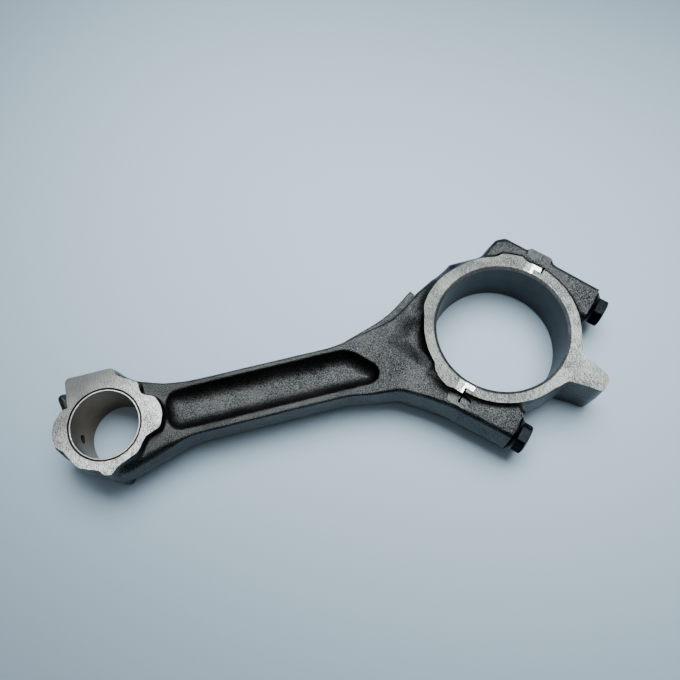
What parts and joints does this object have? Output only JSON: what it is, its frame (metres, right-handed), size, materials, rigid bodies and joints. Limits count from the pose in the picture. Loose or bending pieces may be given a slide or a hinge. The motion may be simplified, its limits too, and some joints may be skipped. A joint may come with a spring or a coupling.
{
  "type": "connecting rod",
  "caption": "Forged connecting rod with an oblique stepped split at the big end, a bolted cap with a balance pad, and a bushed small end.",
  "frame": {"origin": "middle of the footprint, on the surface that the rod lies on", "axes": "+X from the small end to the big end, +Z along both bores, +Y towards the side with the higher bolt seat"},
  "size_m": [0.3308, 0.1278, 0.037],
  "materials": {
    "forged_steel": "shot-blasted forging, with ground end faces and bored housings",
    "bush_bronze": "finely bored bronze-lined steel",
    "bolt_black": "black oxide"
  },
  "bodies": {
    "rod": {"rod_body": "forged_steel", "small_end_bush": "bush_bronze"},
    "cap": {"rod_cap": "forged_steel"},
    "upper_bolt": {"bolt_upper": "bolt_black"},
    "lower_bolt": {"bolt_lower": "bolt_black"}
  },
  "joints": [
    {"name": "cap_release", "type": "slide", "parent": "rod", "child": "cap", "axis": [0.7071, -0.7071, 0], "range_m": [0, 0.027]},
    {"name": "upper_bolt_turn", "type": "hinge", "parent": "cap", "child": "upper_bolt", "pos_m": [0.12629, 0.03708, 0.0185], "axis": [0.7071, -0.7071, 0], "range_deg": [0, 7780]},
    {"name": "lower_bolt_turn", "type": "hinge", "parent": "cap", "child": "lower_bolt", "pos_m": [0.06124, -0.02797, 0.0185], "axis": [0.7071, -0.7071, 0], "range_deg": [0, 7780]}
  ],
  "couplings": [
    {"joint": "upper_bolt_turn", "follows": "cap_release", "rad_per_m": 5026.5},
    {"joint": "lower_bolt_turn", "follows": "cap_release", "rad_per_m": 5026.5}
  ]
}
